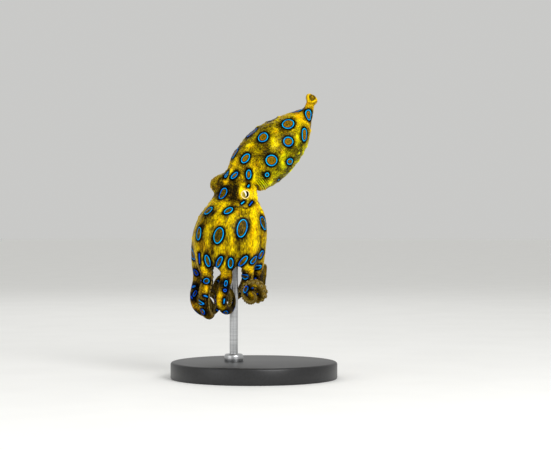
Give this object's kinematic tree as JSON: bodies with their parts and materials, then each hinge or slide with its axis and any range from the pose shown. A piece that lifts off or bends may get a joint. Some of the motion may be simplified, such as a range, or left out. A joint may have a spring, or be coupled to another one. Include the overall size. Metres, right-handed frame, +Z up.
{
  "type": "blue ringed octopus display model",
  "caption": "Still life-size model of a swimming blue ringed octopus, mantle tilted up, arms in a bell with curled tips, held by a thin rod on a round base.",
  "frame": {"origin": "centre of the round base's underside, on the floor", "axes": "+Z up; +Y away from the pictured view, +X to its right; the animal's back faces between -X and -Y, its mantle leans towards +X"},
  "size_m": [0.06, 0.06, 0.1028],
  "materials": {
    "skin": "moist golden yellow skin with olive patches and bright blue rings on dark brown spots, glossy",
    "web_skin": "thin moist golden yellow skin between the arms, with blue rings",
    "eye": "wet, glossy cream and gold eyeball with a dark slit pupil",
    "mouth": "pale wrinkled lip",
    "stand": "satin black paint",
    "rod": "brushed bare steel"
  },
  "bodies": {
    "root": {"stand_base": "stand", "stand_rod": "rod", "stand_collar": "rod", "mouth": "mouth", "head": "skin", "eye_left": "eye", "eye_right": "eye", "mantle": "skin", "mantle_tip": "skin", "funnel": "skin", "arm_left_1_root": "skin", "arm_left_1_middle": "skin", "arm_left_1_tip": "skin", "arm_left_2_root": "skin", "arm_left_2_middle": "skin", "arm_left_2_tip": "skin", "arm_left_3_root": "skin", "arm_left_3_middle": "skin", "arm_left_3_tip": "skin", "arm_left_4_root": "skin", "arm_left_4_middle": "skin", "arm_left_4_tip": "skin", "arm_right_1_root": "skin", "arm_right_1_middle": "skin", "arm_right_1_tip": "skin", "arm_right_2_root": "skin", "arm_right_2_middle": "skin", "arm_right_2_tip": "skin", "arm_right_3_root": "skin", "arm_right_3_middle": "skin", "arm_right_3_tip": "skin", "arm_right_4_root": "skin", "arm_right_4_middle": "skin", "arm_right_4_tip": "skin", "web_right_4_to_right_3": "web_skin", "web_right_3_to_right_2": "web_skin", "web_right_2_to_right_1": "web_skin", "web_right_1_to_left_1": "web_skin", "web_left_1_to_left_2": "web_skin", "web_left_2_to_left_3": "web_skin", "web_left_3_to_left_4": "web_skin", "web_left_4_to_right_4": "web_skin"}
  },
  "joints": []
}
